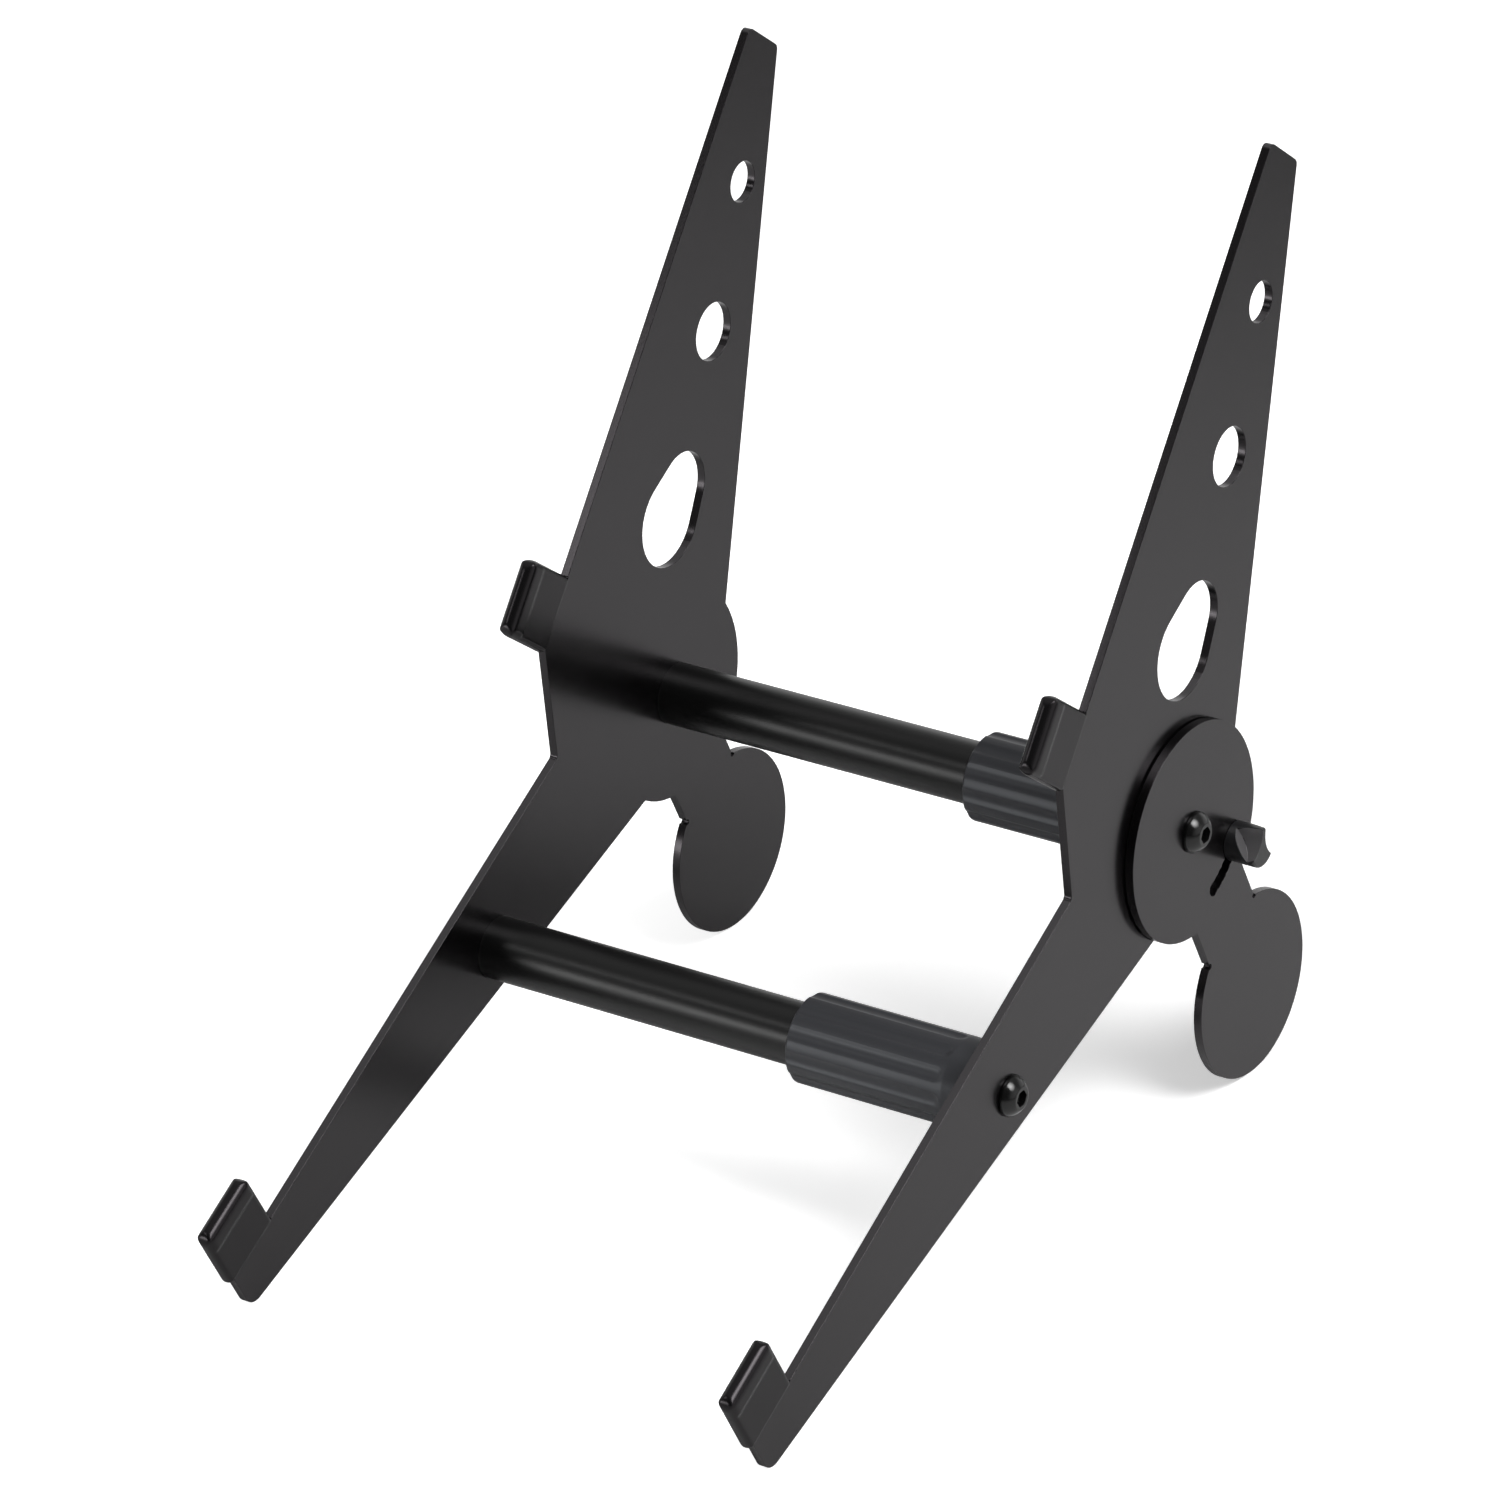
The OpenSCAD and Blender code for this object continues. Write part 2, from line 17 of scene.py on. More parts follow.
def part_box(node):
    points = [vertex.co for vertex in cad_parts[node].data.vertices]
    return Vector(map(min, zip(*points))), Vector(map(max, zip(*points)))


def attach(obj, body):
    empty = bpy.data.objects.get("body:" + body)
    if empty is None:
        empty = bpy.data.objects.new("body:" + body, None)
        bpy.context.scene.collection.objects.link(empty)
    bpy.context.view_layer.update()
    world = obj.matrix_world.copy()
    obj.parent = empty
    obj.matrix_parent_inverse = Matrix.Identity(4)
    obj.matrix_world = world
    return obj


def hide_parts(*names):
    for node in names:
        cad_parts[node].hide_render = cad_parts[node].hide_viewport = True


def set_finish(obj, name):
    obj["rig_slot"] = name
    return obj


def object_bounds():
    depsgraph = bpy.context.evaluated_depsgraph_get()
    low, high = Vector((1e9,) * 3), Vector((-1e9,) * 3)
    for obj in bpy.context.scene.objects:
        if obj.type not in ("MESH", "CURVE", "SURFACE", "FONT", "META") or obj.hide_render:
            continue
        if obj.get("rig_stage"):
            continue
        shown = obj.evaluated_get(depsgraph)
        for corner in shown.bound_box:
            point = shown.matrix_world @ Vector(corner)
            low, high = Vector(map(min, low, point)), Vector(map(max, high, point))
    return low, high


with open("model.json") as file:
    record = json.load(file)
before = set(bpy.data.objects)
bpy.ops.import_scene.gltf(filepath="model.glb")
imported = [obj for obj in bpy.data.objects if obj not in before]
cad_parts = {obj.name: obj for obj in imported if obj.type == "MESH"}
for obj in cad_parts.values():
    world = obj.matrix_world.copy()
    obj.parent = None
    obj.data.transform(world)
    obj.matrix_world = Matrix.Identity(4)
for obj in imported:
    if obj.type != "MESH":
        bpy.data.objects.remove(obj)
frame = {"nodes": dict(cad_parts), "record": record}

MM = 0.001
SIDES = ("left", "right")

cad_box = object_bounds()
nodes = frame["nodes"]
record = frame["record"]
body_of = {node: body for body, members in record["behaviour"]["bodies"].items() for node in members}
slot_of = {piece["node"]: piece["material_slot"] for piece in record["subparts"]}
print("nodes", len(nodes), "size in mm", [round(v / MM, 1) for v in cad_box[1] - cad_box[0]])


# %% Where the two cross tubes lie
def centre(node):
    """Middle of a node's box"""
    low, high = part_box(node)
    return (low + high) / 2


upper_axis = centre("upper_inner_tube")
lower_axis = centre("lower_inner_tube")
for level, axis in (("upper", upper_axis), ("lower", lower_axis)):
    print(level, "tube at y, z in mm", [round(v / MM, 2) for v in axis.yz])


# %% [markdown]
# ## The camera
# A product photograph is taken from far away with a long lens, so that parallel edges stay nearly parallel.
# The place and the three directions below give the same view of the stand. Blender's camera looks along its
# own minus Z with Y up, so the matrix is filled with the view's right, up and backward directions.

# %% Camera at the photograph's viewing angle
def show(thing):
    """Puts a new object into the scene"""
    bpy.context.scene.collection.objects.link(thing)
    return thing


right = Vector((0.82921768, 0.55671837, -0.04962561))
down = Vector((0.22438681, -0.412902, -0.88270182))
ahead = Vector((-0.51190683, 0.72081662, -0.4673059))
place = Vector((1.471759, -2.073888, 1.497922))
view = Matrix((right, -down, -ahead)).transposed().to_4x4()
view.translation = place
lens = bpy.data.cameras.new("view")
lens.lens = 216
lens.sensor_width = 36
lens.clip_start = 0.1
lens.clip_end = 50
camera = show(bpy.data.objects.new("camera", lens))
camera.matrix_world = view
bpy.context.scene.camera = camera
bpy.context.scene.view_settings.view_transform = "Standard"
print("camera", round(place.length, 3), "m from the origin")


# %% [markdown]
# ## Making a piece
# Every new piece stands for a node of the model: it takes the node's place, rides on the node's body and
# keeps its finish slot. One helper does all three, so that no piece is left behind when the stand moves.
# A node's mesh is loose triangles, so a copy of it is merged first: points that coincide become one, and
# triangles that lie in one plane become one face again. Only then is there an edge for a bevel to round.

# %% A piece that stands for a node
def piece_for(node, bm, name):
    """Makes a mesh object of bm that stands for the node"""
    mesh = bpy.data.meshes.new(name)
    bm.to_mesh(mesh)
    bm.free()
    labels = [a.name for a in mesh.attributes]
    for label in labels:
        if label == "custom_normal" or label.startswith("UVMap"):
            mesh.attributes.remove(mesh.attributes[label])
    mesh.polygons.foreach_set("use_smooth", [True] * len(mesh.polygons))
    piece = show(bpy.data.objects.new(name, mesh))
    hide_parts(node)
    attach(piece, body_of[node])
    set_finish(piece, slot_of[node])
    return piece


def merged(node, weld=2e-6, flat=math.radians(0.4)):
    """A bmesh of the node whose loose triangles are joined and whose flat faces are whole again"""
    bm = bmesh.new()
    bm.from_mesh(nodes[node].data)
    bmesh.ops.remove_doubles(bm, verts=bm.verts, dist=weld)
    bmesh.ops.dissolve_limit(bm, angle_limit=flat, verts=bm.verts, edges=bm.edges)
    return bm


def weighted(piece):
    """Lets the large faces lead the shading, so that they stay flat beside a rounded edge"""
    normals = piece.modifiers.new("weighted normals", "WEIGHTED_NORMAL")
    normals.keep_sharp = True
    return piece


# %% [markdown]
# ## Plates with softened edges
# The side frames and feet are cut from 3 mm steel by a laser and powder coated. The coating draws back a
# little on each edge and leaves a round of a few tenths of a millimetre. That small round matters most of
# all: it catches the light as a thin line. Modelling each outline anew would risk moving a hole or a notch,
# so the model's own outline is copied and its sharp edges are bevelled.

# %% Round off the sharp edges of a node
def eased(node, width, segments=3, sharp=math.radians(28)):
    """A copy of the node whose edges sharper than the given angle are rounded"""
    bm = merged(node)
    edges = [e for e in bm.edges if len(e.link_faces) == 2 and e.calc_face_angle() > sharp]
    bmesh.ops.bevel(bm, geom=edges, offset=width, offset_type="OFFSET", segments=segments, profile=0.5,
                    affect="EDGES", clamp_overlap=True, material=-1)
    piece = weighted(piece_for(node, bm, "eased_" + node))
    print(piece.name, len(edges), "edges,", len(piece.data.polygons), "faces")
    return piece


coat_round = 0.5 * MM
plates = [eased(side + "_side_plate", coat_round) for side in SIDES]
feet = [eased(side + "_rear_foot", coat_round) for side in SIDES]


# %% [markdown]
# The narrow edges that look upwards, above all the long front edges of the legs, get a dark grey painted
# sheen.
# They mirror a dim part of the room and would be nearly black, and the paler colour stands in for the bright
# overhead light they would mirror. An attribute on the faces remembers where it lies. It is worked out once,
# from the way each face looks at rest, so it stays in place as the stand moves.

# %% Mark where painted sheen lies on the plates
def mark_painted_sheen(plate, unpainted=0.68, painted_sheen=0.86):
    """Writes 0 to 1 of painted sheen on each face, as its normal's upward part rises from unpainted to
    painted_sheen
    """
    mark = plate.data.attributes.new("painted_sheen", "FLOAT", "FACE")
    for face in plate.data.polygons:
        upward = (face.normal.z - unpainted) / (painted_sheen - unpainted)
        mark.data[face.index].value = min(1.0, max(0.0, upward))
    print(plate.name, sum(m.value > 0 for m in mark.data), "faces with painted sheen")


for plate in plates:
    mark_painted_sheen(plate)

# %% [markdown]
# ## Fluted twist sleeves
# Each sleeve is a moulded plastic tube with eleven shallow finger flutes and a smooth band at one end.
# It is turned from a profile with spin, and the flutes are then pressed into the turned skin by moving its
# points inwards, as a round cutter with a ball end would. A soft minimum joins skin and cutter, so that the
# flutes get the small rounded edges of a moulding. Cutting them with a boolean would leave hard edges.


# %% Sizes of the sleeve, read from the model
def round_size(node):
    """Start, length and radius of a round node that lies along X"""
    low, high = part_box(node)
    return low.x, high.x - low.x, (high.z - low.z) / 2


sleeve_x, sleeve_l, sleeve_r = round_size("lower_lock_collar")
tube_r = round_size("lower_inner_tube")[2]
socket_x, _, socket_r = round_size("lower_outer_tube")
print("sleeve", round(sleeve_l / MM, 2), "mm long, radius", round(sleeve_r / MM, 2))

# %% The cutter that presses the flutes
flutes = 11
first_flute = math.radians(75.6)
flute_half = 2.45 * MM
flute_depth = 0.8 * MM
band = 7.6 * MM
rest = 0.4 * MM
sag = flute_depth - sleeve_r + math.sqrt(sleeve_r ** 2 - flute_half ** 2)
cutter_r = (flute_half ** 2 + sag ** 2) / (2 * sag)
cutter_out = sleeve_r - flute_depth + cutter_r
flute_end = sleeve_l - band - rest - math.sqrt(flute_depth * (2 * cutter_r - flute_depth))
print("cutter radius", round(cutter_r / MM, 2), "flutes end at", round(flute_end / MM, 2))


# %% The profile, as points of (x, radius) round the sleeve's wall
def stations(low, high, count):
    """Evenly spaced places from low up to, but without, high"""
    return [low + (high - low) * k / count for k in range(count)]


def sleeve_profile():
    """From the rounded mouth along the skin to the tapered end, and back through the bore"""
    # Each point of the mouth is given as its distance along and its drop below the skin, in millimetres
    mouth = ((0, 0.95), (0.05, 0.7), (0.2, 0.42), (0.42, 0.2), (0.7, 0.05), (1, 0))
    mouth_l = 1.6 * MM
    dense_from = flute_end - 0.6 * MM
    coarse_steps = 14
    dense_steps = 22
    taper = 0.7 * MM
    lip = 3.2 * MM
    play = 0.3 * MM
    socket = socket_r + 0.06 * MM
    skin = [(x * MM, sleeve_r - drop * MM) for x, drop in mouth]
    skin += [(x, sleeve_r) for x in stations(mouth_l, dense_from, coarse_steps)]
    skin += [(x, sleeve_r) for x in stations(dense_from, sleeve_l - band, dense_steps)]
    skin += [
        (sleeve_l - band, sleeve_r),
        (sleeve_l - band + 0.5 * MM, sleeve_r - 0.02 * MM),
        (sleeve_l - 0.5 * MM, sleeve_r - taper + 0.03 * MM),
        (sleeve_l - 0.15 * MM, sleeve_r - taper - 0.08 * MM),
        (sleeve_l, sleeve_r - taper - 0.4 * MM),
    ]
    bore = [
        (sleeve_l, socket),
        (socket_x - sleeve_x, socket),
        (lip, tube_r + 1 * MM),
        (lip, tube_r + play),
        (play, tube_r + play),
        (0, tube_r + 2 * play),
    ]
    return skin + bore


profile = sleeve_profile()
print("profile of", len(profile), "points")


# %% Turn the profile and press the flutes
def turned(points, axis, steps):
    """Spins the closed profile about the tube's axis"""
    bm = bmesh.new()
    ring = [bm.verts.new((sleeve_x + x, axis.y, axis.z + r)) for x, r in points]
    for a, b in zip(ring, ring[1:] + ring[:1]):
        bm.edges.new((a, b))
    bmesh.ops.spin(bm, geom=bm.verts[:] + bm.edges[:], cent=(0, axis.y, axis.z), axis=(1, 0, 0),
                   dvec=(0, 0, 0), angle=2 * math.pi, steps=steps, use_merge=True, use_duplicate=False)
    bmesh.ops.remove_doubles(bm, verts=bm.verts, dist=1e-7)
    bmesh.ops.recalc_face_normals(bm, faces=bm.faces)
    return bm


def press_flutes(bm, axis, soft=0.16 * MM, wall=1.6 * MM):
    """Moves the skin's points inwards to where the cutter would leave them"""
    pitch = 2 * math.pi / flutes
    for v in bm.verts:
        out = Vector((0, v.co.y - axis.y, v.co.z - axis.z))
        r = out.length
        if r < sleeve_r - wall:
            continue
        turn = (math.atan2(out.y, out.z) - first_flute + pitch / 2) % pitch - pitch / 2
        along = max(0.0, v.co.x - sleeve_x - flute_end)
        room = cutter_r ** 2 - (cutter_out * math.sin(turn)) ** 2 - along ** 2
        if room <= 0:
            continue
        cut = cutter_out * math.cos(turn) - math.sqrt(room)
        new = (r + cut - math.sqrt((r - cut) ** 2 + soft ** 2)) / 2
        v.co += out.normalized() * (new - r)


def sleeve(level, axis, steps_per_flute=30):
    bm = turned(profile, axis, flutes * steps_per_flute)
    press_flutes(bm, axis)
    piece = weighted(piece_for(level + "_lock_collar", bm, level + "_twist_sleeve"))
    print(piece.name, len(piece.data.polygons), "faces")
    return piece


sleeves = [sleeve("upper", upper_axis), sleeve("lower", lower_axis)]


# %% [markdown]
# ## Rubber hook caps
# A soft cap is pulled over each hook and ends in a thick rolled bead. Rubber has no crisp edge anywhere. A
# bevel would fail where its small faces meet, so the solid is rebuilt from small cubes by a voxel remesh and
# its points are smoothed a few times, which rounds every edge more than it would be on a hard part.

# %% Remesh and smooth a cap
def soft_cap(node, cell=0.32 * MM, rounds=12):
    bm = merged(node)
    solid = bpy.data.meshes.new("solid")
    bm.to_mesh(solid)
    bm.free()
    holder = show(bpy.data.objects.new("holder", solid))
    remesh = holder.modifiers.new("cubes", "REMESH")
    remesh.mode = "VOXEL"
    remesh.voxel_size = cell
    rebuilt = holder.evaluated_get(bpy.context.evaluated_depsgraph_get())
    bm = bmesh.new()
    bm.from_mesh(rebuilt.to_mesh())
    rebuilt.to_mesh_clear()
    for _ in range(rounds):
        bmesh.ops.smooth_vert(bm, verts=bm.verts, factor=0.5,
                              use_axis_x=True, use_axis_y=True, use_axis_z=True)
    bpy.data.objects.remove(holder)
    piece = piece_for(node, bm, "soft_" + node)
    print(piece.name, len(piece.data.polygons), "faces")
    return piece


caps = [soft_cap(side + "_" + level + "_cap") for side in SIDES for level in ("upper", "lower")]


# %% [markdown]
# ## Screws and knobs
# The button head screws are forged, and the round knobs are moulded with two oblique scoops that leave a
# wing for thumb and finger. Both have their forms in the model, so easing their edges is enough. The knob's
# rim is dark and its scoops get a paler grey, a painted reflection of the bright table they face, which an
# attribute on the faces tells its finish.

# %% Ease the screws and the knobs
screws = [eased(side + "_" + kind + "_screw", 0.25 * MM) for side in SIDES for kind in ("pivot", "lower")]
knobs = [eased(side + "_wing_knob", 0.5 * MM, segments=4) for side in SIDES]


# %% Mark the scooped faces of a knob, which get a painted reflection
def mark_scoops(knob, bore=3 * MM, rim=0.5 * MM, end_facing=0.95):
    """Writes 1, where the painted reflection goes, on the faces inside the rim that are neither the knob's
    ends nor its bore
    """
    points = [v.co for v in knob.data.vertices]
    low, high = [Vector(pick(p[i] for p in points) for i in range(3)) for pick in (min, max)]
    middle = (low + high) / 2
    radius = (high.y - low.y) / 2
    mark = knob.data.attributes.new("scooped", "FLOAT", "FACE")
    for face in knob.data.polygons:
        off = (face.center.yz - middle.yz).length
        in_bore = off < bore and abs(face.center.x) < abs(middle.x)
        scooped = off < radius - rim and abs(face.normal.x) < end_facing and not in_bore
        mark.data[face.index].value = float(scooped)
    print(knob.name, sum(round(m.value) for m in mark.data), "scooped faces")


for knob in knobs:
    mark_scoops(knob)

# %% [markdown]
# ## Shared effects
# Each effect that several finishes share is a node group: grain of a sprayed or moulded skin, wear along
# edges, and a few specks of dust. The groups give values only, and each finish keeps its own shader, because
# an exported model can't read a shader that is hidden in a group.


# %% Helpers for nodes
def plug(tree, value, socket):
    """Sets a socket to a number, or links it to another node's output"""
    if isinstance(value, (int, float)):
        socket.default_value = value
    else:
        tree.links.new(value, socket)


def math_node(tree, operation, a, b=None, clamp=False):
    node = tree.nodes.new("ShaderNodeMath")
    node.operation = operation
    node.use_clamp = clamp
    plug(tree, a, node.inputs[0])
    if b is not None:
        plug(tree, b, node.inputs[1])
    return node.outputs[0]


def noise(tree, coords, scale, detail=2, rough=0.5):
    node = tree.nodes.new("ShaderNodeTexNoise")
    node.inputs["Detail"].default_value = detail
    node.inputs["Roughness"].default_value = rough
    plug(tree, coords, node.inputs["Vector"])
    plug(tree, scale, node.inputs["Scale"])
    return node.outputs["Fac"]


def new_group(name, inputs, outputs):
    """A node group with named number sockets, and its two end nodes"""
    group = bpy.data.node_groups.new(name, "ShaderNodeTree")
    for label, value in inputs.items():
        socket = group.interface.new_socket(name=label, in_out="INPUT", socket_type="NodeSocketFloat")
        socket.default_value = value
    for label in outputs:
        group.interface.new_socket(name=label, in_out="OUTPUT", socket_type="NodeSocketFloat")
    return group, group.nodes.new("NodeGroupInput"), group.nodes.new("NodeGroupOutput")


def object_coords(tree):
    return tree.nodes.new("ShaderNodeTexCoord").outputs["Object"]


# %% Grain of a skin: fine bumps on long, soft waves
grain, ends, out = new_group(
    "skin_grain", {"Grain Scale": 1500, "Wave Scale": 250, "Wave Share": 0.4}, ["Height", "Patch"])
coords = object_coords(grain)
fine = noise(grain, coords, ends.outputs["Grain Scale"], detail=3, rough=0.6)
wave = noise(grain, coords, ends.outputs["Wave Scale"], detail=1)
share = ends.outputs["Wave Share"]
waves_part = math_node(grain, "MULTIPLY", wave, share)
fine_part = math_node(grain, "MULTIPLY", fine, math_node(grain, "SUBTRACT", 1, share))
grain.links.new(math_node(grain, "ADD", waves_part, fine_part), out.inputs["Height"])
patch_scale = 22
grain.links.new(noise(grain, coords, patch_scale, detail=4, rough=0.55), out.inputs["Patch"])
print(grain.name, "has", len(grain.nodes), "nodes")

# %% Wear along edges: where a rounded normal leaves the surface's own
wear, ends, out = new_group("edge_wear", {"Radius": 0.0008, "Patch Scale": 180, "Amount": 1}, ["Mask"])
rounded = wear.nodes.new("ShaderNodeBevel")
rounded.samples = 6
wear.links.new(ends.outputs["Radius"], rounded.inputs["Radius"])
surface = wear.nodes.new("ShaderNodeNewGeometry")
agreement = wear.nodes.new("ShaderNodeVectorMath")
agreement.operation = "DOT_PRODUCT"
wear.links.new(rounded.outputs["Normal"], agreement.inputs[0])
wear.links.new(surface.outputs["Normal"], agreement.inputs[1])
turned_by = math_node(wear, "SUBTRACT", 1, agreement.outputs["Value"])
edge_gain = 7
edge = math_node(wear, "MULTIPLY", turned_by, edge_gain, clamp=True)
unworn_below = 0.42
patch_gain = 5
patch = noise(wear, object_coords(wear), ends.outputs["Patch Scale"], detail=4, rough=0.65)
above = math_node(wear, "SUBTRACT", patch, unworn_below)
patch = math_node(wear, "MULTIPLY", above, patch_gain, clamp=True)
patchy_edge = math_node(wear, "MULTIPLY", edge, patch)
wear.links.new(math_node(wear, "MULTIPLY", patchy_edge, ends.outputs["Amount"]), out.inputs["Mask"])
print(wear.name, "has", len(wear.nodes), "nodes")

# %% Dust: a tiny speck in a few of many cells
dust, ends, out = new_group("dust_specks", {"Cells": 260, "Rare": 0.985, "Speck": 0.16}, ["Mask"])
cells = dust.nodes.new("ShaderNodeTexVoronoi")
dust.links.new(object_coords(dust), cells.inputs["Vector"])
dust.links.new(ends.outputs["Cells"], cells.inputs["Scale"])
chosen = dust.nodes.new("ShaderNodeSeparateColor")
dust.links.new(cells.outputs["Color"], chosen.inputs["Color"])
picked = math_node(dust, "GREATER_THAN", chosen.outputs[0], ends.outputs["Rare"])
near = math_node(dust, "LESS_THAN", cells.outputs["Distance"], ends.outputs["Speck"])
dust.links.new(math_node(dust, "MULTIPLY", picked, near), out.inputs["Mask"])
print(dust.name, "has", len(dust.nodes), "nodes")


# %% [markdown]
# ## One recipe for a finish
# All finishes of the stand are layered the same way. A base colour varies a little in patches, a marked area
# may have a paler colour of its own, which is a painted sheen, the edges are worn, and a few specks lie on
# top.
# The gloss varies with the same patches and is duller where the edge is worn. Fine bumps break up what it
# mirrors.

# %% Place a group, and mix two colours
def placed(tree, group, **values):
    """Puts the group into a material and sets its inputs, written with _ for a space"""
    node = tree.nodes.new("ShaderNodeGroup")
    node.node_tree = group
    for label, value in values.items():
        node.inputs[label.replace("_", " ")].default_value = value
    return node


def blend(tree, a, b, factor):
    """Mixes two colours, each given as a tuple or as another node's output"""
    mix = tree.nodes.new("ShaderNodeMix")
    mix.data_type = "RGBA"
    sockets = [s for s in mix.inputs if s.type == "RGBA"]
    for socket, value in zip(sockets, (a, b)):
        if isinstance(value, tuple):
            socket.default_value = (*value, 1)
        else:
            tree.links.new(value, socket)
    tree.links.new(factor, mix.inputs[0])
    return [s for s in mix.outputs if s.type == "RGBA"][0]


# %% A finish of base colour, worn colour, gloss and grain
def finish_of(name, base, worn, rough, rough_play=0.08, grain_scale=1500, wave_scale=250, wave_share=0.4,
              bump=0.01 * MM, edge_amount=0.5, edge_radius=0.8 * MM, specks=0.0, metallic=0.0, ior=1.5,
              tint=(1, 1, 1), marked=None):
    paler = 1.25
    worn_rough = 0.1
    speck_grey = (0.5, 0.5, 0.5)
    material = bpy.data.materials.new(name)
    material.use_nodes = True
    tree = material.node_tree
    shader = tree.nodes["Principled BSDF"]
    shader.inputs["Metallic"].default_value = metallic
    shader.inputs["IOR"].default_value = ior
    shader.inputs["Specular Tint"].default_value = (*tint, 1)

    skin = placed(tree, grain, Grain_Scale=grain_scale, Wave_Scale=wave_scale, Wave_Share=wave_share)
    edges = placed(tree, wear, Radius=edge_radius, Amount=edge_amount)
    lighter = tuple(min(1.0, c * paler) for c in base)
    colour = blend(tree, base, lighter, skin.outputs["Patch"])
    # A marked area gets a paler colour that is a painted sheen: the plates' upward edges and the knobs'
    # scoops.
    if marked:
        label, marked_colour = marked
        attribute = tree.nodes.new("ShaderNodeAttribute")
        attribute.attribute_name = label
        colour = blend(tree, colour, marked_colour, attribute.outputs["Fac"])
    colour = blend(tree, colour, worn, edges.outputs["Mask"])
    if specks:
        specked = placed(tree, dust, Rare=1 - specks)
        colour = blend(tree, colour, speck_grey, specked.outputs["Mask"])
    tree.links.new(colour, shader.inputs["Base Color"])

    by_patch = math_node(tree, "MULTIPLY", skin.outputs["Patch"], rough_play)
    by_wear = math_node(tree, "MULTIPLY", edges.outputs["Mask"], worn_rough)
    gloss = math_node(tree, "ADD", rough - rough_play / 2, by_patch)
    tree.links.new(math_node(tree, "ADD", gloss, by_wear, clamp=True), shader.inputs["Roughness"])
    bumps = tree.nodes.new("ShaderNodeBump")
    bumps.inputs["Strength"].default_value = 1
    bumps.inputs["Distance"].default_value = bump
    tree.links.new(skin.outputs["Height"], bumps.inputs["Height"])
    tree.links.new(bumps.outputs["Normal"], shader.inputs["Normal"])
    print("finish", name)
    return material


# %% [markdown]
# ## Coated steel
# The plates and feet are powder coated nearly black. Their gloss is even and fairly sharp, so that a plate
# mirrors the table behind it. The tubes carry a thinner satin enamel over drawn steel, which is rougher and
# has a stronger grain, and the screws are blackened and polished.

# %% Powder coat, tube enamel and blackened screws
# The plates' marked colour, on their upward edges, is a painted sheen.
powder = finish_of(
    "black_powder_coat", base=(0.0018, 0.0016, 0.0018), worn=(0.014, 0.014, 0.014), rough=0.22,
    rough_play=0.04, grain_scale=1300, wave_scale=420, wave_share=0.5, bump=0.012 * MM, specks=0.004,
    tint=(1, 0.93, 0.985), marked=("painted_sheen", (0.045, 0.043, 0.045)))
enamel = finish_of(
    "satin_tube_enamel", base=(0.003, 0.003, 0.003), worn=(0.015, 0.015, 0.015), rough=0.35,
    wave_scale=600, wave_share=0.5, bump=0.035 * MM, specks=0.002)
screw_black = finish_of(
    "screw_black", base=(0.003, 0.003, 0.003), worn=(0.05, 0.05, 0.052), rough=0.16,
    grain_scale=1800, wave_scale=600, bump=0.006 * MM, edge_amount=0.4, edge_radius=0.3 * MM)

# %% [markdown]
# ## Plastic and rubber
# The sleeves are a filled plastic, a little blue and paler than the steel, with a broad soft gloss. The
# knobs are darker, and their scoops get a paler grey that is a painted reflection. The caps are rubber,
# which mirrors less than a coat does, so their refractive index is lower, and they attract more dust than
# anything else.

# %% Sleeves, knobs and caps
sleeve_plastic = finish_of(
    "sleeve_plastic", base=(0.021, 0.0212, 0.0245), worn=(0.045, 0.046, 0.05), rough=0.42,
    grain_scale=2600, wave_scale=900, bump=0.02 * MM, specks=0.003, ior=1.65, tint=(0.92, 0.95, 1))
# The paler grey on the scooped faces is a painted reflection of the bright table.
knob_plastic = finish_of(
    "knob_plastic", base=(0.01, 0.01, 0.011), worn=(0.03, 0.03, 0.032), rough=0.38,
    grain_scale=2600, wave_scale=900, bump=0.015 * MM, marked=("scooped", (0.105, 0.102, 0.106)))
rubber = finish_of(
    "cap_rubber", base=(0.003, 0.003, 0.0032), worn=(0.02, 0.02, 0.02), rough=0.24,
    grain_scale=1800, wave_scale=500, bump=0.012 * MM, specks=0.012, ior=1.38, tint=(1, 0.92, 0.98))

# %% [markdown]
# ## What sits inside
# Studs and plugs are zinc plated, the knob's bush is brass, and the discs, collets and guides that slide are
# a smooth black plastic. Little of them shows, but they are finished all the same.

# %% Zinc, brass and smooth plastic
zinc = finish_of(
    "zinc_plated_steel", base=(0.5, 0.5, 0.52), worn=(0.65, 0.65, 0.66), rough=0.32,
    grain_scale=2500, bump=0.008 * MM, metallic=1.0)
brass = finish_of(
    "turned_brass", base=(0.7, 0.52, 0.22), worn=(0.8, 0.65, 0.35), rough=0.3,
    grain_scale=2500, bump=0.008 * MM, metallic=1.0)
wear_plastic = finish_of(
    "smooth_black_plastic", base=(0.012, 0.012, 0.012), worn=(0.03, 0.03, 0.03), rough=0.35,
    grain_scale=2200)

# %% Dress every node and piece by its slot
finishes = {
    "plate_coat": powder, "foot_coat": powder, "tube_coat": enamel, "collar_plastic": sleeve_plastic,
    "knob_plastic": knob_plastic, "hook_rubber": rubber, "screw_black": screw_black, "bare_steel": zinc,
    "insert_brass": brass, "wear_plastic": wear_plastic,
}


def dress(piece, slot):
    piece.data.materials.clear()
    piece.data.materials.append(finishes[slot])


for name, node in nodes.items():
    dress(node, slot_of[name])
pieces = plates + feet + sleeves + caps + screws + knobs
for piece in pieces:
    dress(piece, piece["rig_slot"])
print("dressed", len(nodes), "nodes and", len(pieces), "pieces")


# %% [markdown]
# ## Floor and light
# Glossy black shows almost nothing but what it mirrors, so the white table is what lights up the plates. A
# lamp high at the right makes a pool of light on it behind the stand, which fades further out, and the arms
# darken towards their tips because they mirror its edge. To the camera the floor is white beyond the pool
# too, by a glow that only its rays see and that grows as the pool fades. Gloss sees a second, weaker glow at
# the far left, which keeps the stand readable from the other side. The shadow of the stand stays.

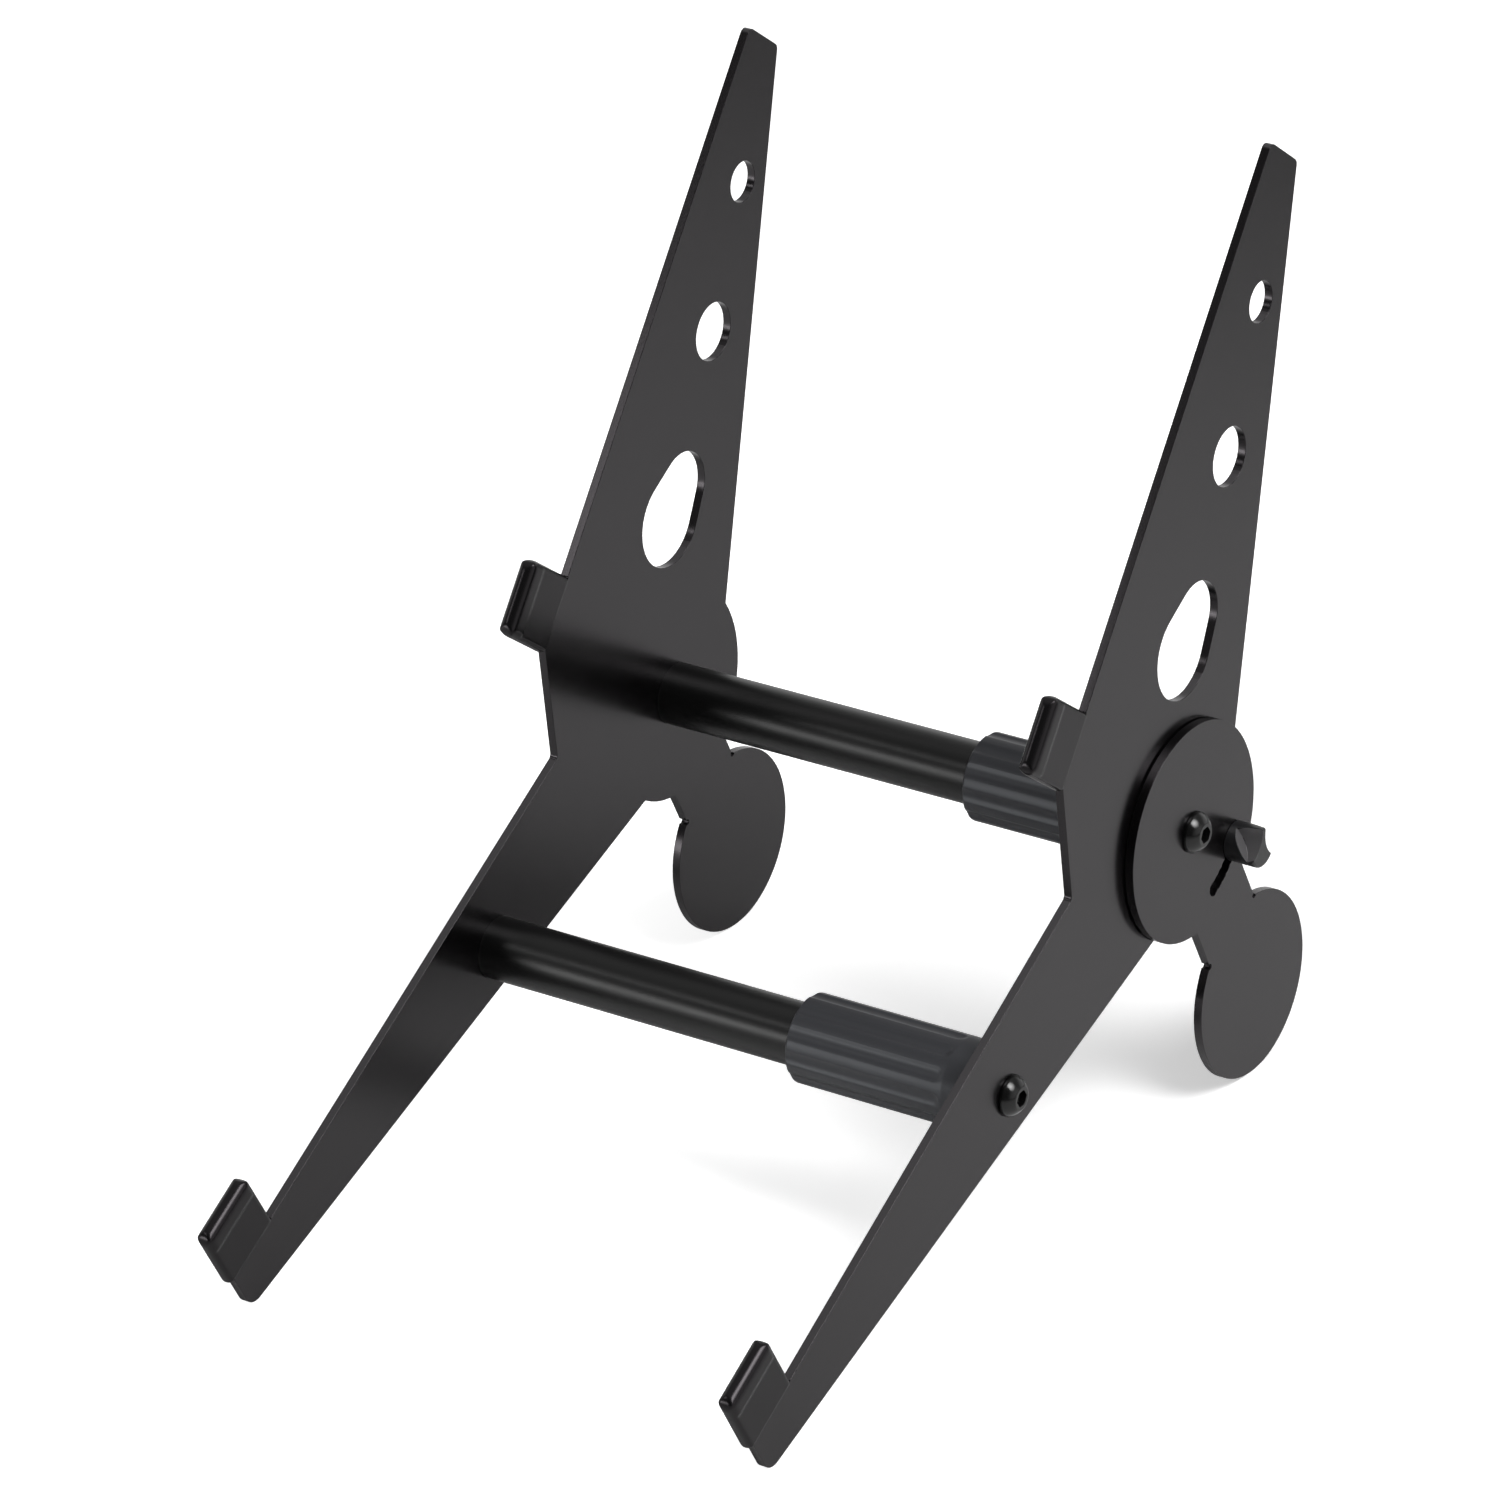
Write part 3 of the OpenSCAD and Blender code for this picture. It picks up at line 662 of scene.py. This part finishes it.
# %% Helpers for the floor and the room
def ramp(tree, value, span, levels):
    """A soft step: the first level below the span, the second above it"""
    node = tree.nodes.new("ShaderNodeMapRange")
    node.interpolation_type = "SMOOTHSTEP"
    for label, number in zip(("From Min", "From Max", "To Min", "To Max"), (*span, *levels)):
        node.inputs[label].default_value = number
    tree.links.new(value, node.inputs["Value"])
    return node.outputs["Result"]


def seen_directly(tree, rays):
    """1 for rays that come from the camera, straight or through glass"""
    return math_node(tree, "MAXIMUM", rays.outputs["Is Camera Ray"], rays.outputs["Is Transmission Ray"])


def parts_of(tree, vector):
    """The X, Y and Z of a vector, as outputs of a node"""
    node = tree.nodes.new("ShaderNodeSeparateXYZ")
    tree.links.new(vector, node.inputs[0])
    return node.outputs


# %% White floor with a pool of light
pool = Vector((0.19, 0.23, 0))
white = bpy.data.materials.new("white_floor")
white.use_nodes = True
tree = white.node_tree
shader = tree.nodes["Principled BSDF"]
shader.inputs["Base Color"].default_value = (0.92, 0.92, 0.92, 1)
shader.inputs["Roughness"].default_value = 0.9
shader.inputs["Specular IOR Level"].default_value = 0
shader.inputs["Emission Color"].default_value = (1, 1, 1, 1)
spot = object_coords(tree)
away = tree.nodes.new("ShaderNodeVectorMath")
away.operation = "DISTANCE"
away.inputs[1].default_value = pool
tree.links.new(spot, away.inputs[0])
rays = tree.nodes.new("ShaderNodeLightPath")
beyond_pool = ramp(tree, away.outputs["Value"], span=(0.1, 0.5), levels=(0.42, 1))
far_left = ramp(tree, parts_of(tree, spot)["X"], span=(-0.45, -0.15), levels=(0.6, 0))
for_camera = math_node(tree, "MULTIPLY", beyond_pool, seen_directly(tree, rays))
for_gloss = math_node(tree, "MULTIPLY", far_left, rays.outputs["Is Glossy Ray"])
tree.links.new(math_node(tree, "ADD", for_camera, for_gloss), shader.inputs["Emission Strength"])

bm = bmesh.new()
bmesh.ops.create_circle(bm, cap_ends=True, radius=12, segments=96)
mesh = bpy.data.meshes.new("floor")
bm.to_mesh(mesh)
bm.free()
floor = show(bpy.data.objects.new("floor", mesh))
floor.data.materials.append(white)
floor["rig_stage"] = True
print("floor", [round(v, 1) for v in floor.dimensions.xy], "m")


# %% [markdown]
# Besides the lamp for the pool, two small soft lamps stand at the front left. They draw the two bright
# lines along each tube, the lower strip the broad one and the higher strip the thin one above it.

# %% Lamps
def lamp(name, at, target, width, depth, power, spread=180):
    light = bpy.data.lights.new(name, "AREA")
    light.shape = "RECTANGLE"
    light.size = width
    light.size_y = depth
    light.energy = power
    light.spread = math.radians(spread)
    thing = show(bpy.data.objects.new(name, light))
    thing.location = at
    thing.rotation_euler = (Vector(target) - Vector(at)).to_track_quat("-Z", "Y").to_euler()
    return thing


low_middle = (0, 0, 0.08)
lamps = [
    lamp("table_light", (0.98, 0.16, 1.15), pool, width=1.0, depth=1.0, power=2.7, spread=48),
    lamp("low_strip", (-0.80, -1.33, 0.26), low_middle, width=0.5, depth=0.34, power=3.3),
    lamp("high_strip", (-0.85, -0.95, 1.15), low_middle, width=0.4, depth=0.16, power=1.1),
]
print("lamps", [thing.name for thing in lamps])

# %% [markdown]
# The room round the table is dim. To the camera it is white, and what gloss mirrors of it depends on the
# direction: dark in front, lighter overhead and to both sides, and nearly white low down at the back, where
# the backdrop hangs. That last part draws the pale line along the back of each tube.

# %% Dim room, white to the camera
room = bpy.data.worlds.new("room")
bpy.context.scene.world = room
room.use_nodes = True
tree = room.node_tree
background = tree.nodes["Background"]
background.inputs["Color"].default_value = (1, 1, 1, 1)
rays = tree.nodes.new("ShaderNodeLightPath")
aim = parts_of(tree, tree.nodes.new("ShaderNodeTexCoord").outputs["Generated"])
front_to_back = ramp(tree, aim["Y"], span=(-0.5, 0.1), levels=(0.08, 0.33))
far_back = ramp(tree, aim["Y"], span=(0.55, 0.8), levels=(0, 0.6))
low_down = ramp(tree, aim["Z"], span=(0.3, 0.6), levels=(1, 0))
backdrop = math_node(tree, "MULTIPLY", far_back, low_down)
overhead = ramp(tree, aim["Z"], span=(0.7, 0.95), levels=(0, 0.2))
beside = ramp(tree, math_node(tree, "ABSOLUTE", aim["X"]), span=(0.7, 0.95), levels=(0, 0.5))
behind = math_node(tree, "ADD", front_to_back, backdrop)
around = math_node(tree, "ADD", overhead, beside)
mirrored = math_node(tree, "ADD", behind, around)

room_light = 0.2
change = math_node(tree, "SUBTRACT", mirrored, room_light)
for_gloss = math_node(tree, "MULTIPLY", rays.outputs["Is Glossy Ray"], change)
level = math_node(tree, "ADD", room_light, for_gloss)
strength = math_node(tree, "MAXIMUM", level, seen_directly(tree, rays))
tree.links.new(strength, background.inputs["Strength"])
print("room light", room_light)

# %% [markdown]
# ## Compare and finish
# The dressed stand has to be as large as the solids it covers, because a finish never resizes a part.

# %% Keep both boxes for comparison, then finish
seen_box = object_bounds()
grown = (seen_box[1] - seen_box[0]) - (cad_box[1] - cad_box[0])
print("grown by mm", [round(v / MM, 3) for v in grown])
